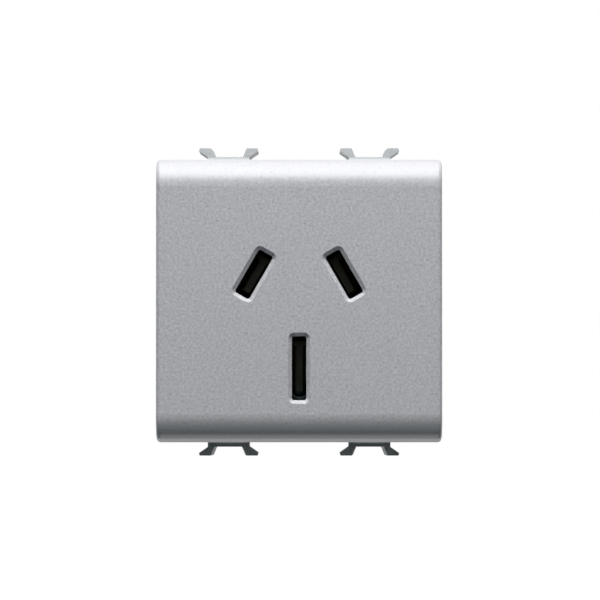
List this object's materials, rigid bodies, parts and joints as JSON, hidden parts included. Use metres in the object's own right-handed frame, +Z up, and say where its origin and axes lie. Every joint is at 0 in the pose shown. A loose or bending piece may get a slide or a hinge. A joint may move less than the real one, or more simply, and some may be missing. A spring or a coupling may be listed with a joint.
{
  "type": "modular australian socket outlet insert",
  "caption": "Snap-in socket insert with a satin grey face, slanted line slots over an upright earth slot, flared frame lugs and screw terminals behind.",
  "frame": {"origin": "middle of the frame seat, the plane where the rear of the cover's rim meets the mounting frame", "axes": "+X to the right seen from the front, +Y from the face towards the wall, +Z up"},
  "size_m": [0.0434, 0.0335, 0.0474],
  "materials": {
    "satin_grey": "satin metallic grey paint on moulded plastic",
    "grey_moulding": "self-coloured grey moulding, fine spark texture",
    "black_moulding": "black moulding",
    "contact_brass": "bright rolled strip",
    "zinc_steel": "zinc plated"
  },
  "bodies": {
    "root": {"front_cover": "satin_grey", "rear_body": "grey_moulding", "pin_guide": "black_moulding", "active_contact": "contact_brass", "neutral_contact": "contact_brass", "earth_contact": "contact_brass"},
    "active_clamp": {"active_clamp_plate": "zinc_steel"},
    "active_screw": {"active_screw": "zinc_steel"},
    "neutral_clamp": {"neutral_clamp_plate": "zinc_steel"},
    "neutral_screw": {"neutral_screw": "zinc_steel"},
    "earth_clamp": {"earth_clamp_plate": "zinc_steel"},
    "earth_screw": {"earth_screw": "zinc_steel"}
  },
  "joints": [
    {"name": "active_clamp_slide", "type": "slide", "parent": "root", "child": "active_clamp", "axis": [0, -1, 0], "range_m": [0, 0.003]},
    {"name": "active_screw_turn", "type": "hinge", "parent": "active_clamp", "child": "active_screw", "pos_m": [-0.011, 0.02145, 0.0134], "axis": [0, -1, 0], "range_deg": [0, 1800]},
    {"name": "neutral_clamp_slide", "type": "slide", "parent": "root", "child": "neutral_clamp", "axis": [0, -1, 0], "range_m": [0, 0.003]},
    {"name": "neutral_screw_turn", "type": "hinge", "parent": "neutral_clamp", "child": "neutral_screw", "pos_m": [0.011, 0.02145, 0.0134], "axis": [0, -1, 0], "range_deg": [0, 1800]},
    {"name": "earth_clamp_slide", "type": "slide", "parent": "root", "child": "earth_clamp", "axis": [0, -1, 0], "range_m": [0, 0.003]},
    {"name": "earth_screw_turn", "type": "hinge", "parent": "earth_clamp", "child": "earth_screw", "pos_m": [0, 0.02145, -0.0134], "axis": [0, -1, 0], "range_deg": [0, 1800]}
  ],
  "couplings": [
    {"joint": "active_screw_turn", "follows": "active_clamp_slide", "rad_per_m": 10472},
    {"joint": "neutral_screw_turn", "follows": "neutral_clamp_slide", "rad_per_m": 10472},
    {"joint": "earth_screw_turn", "follows": "earth_clamp_slide", "rad_per_m": 10472}
  ]
}
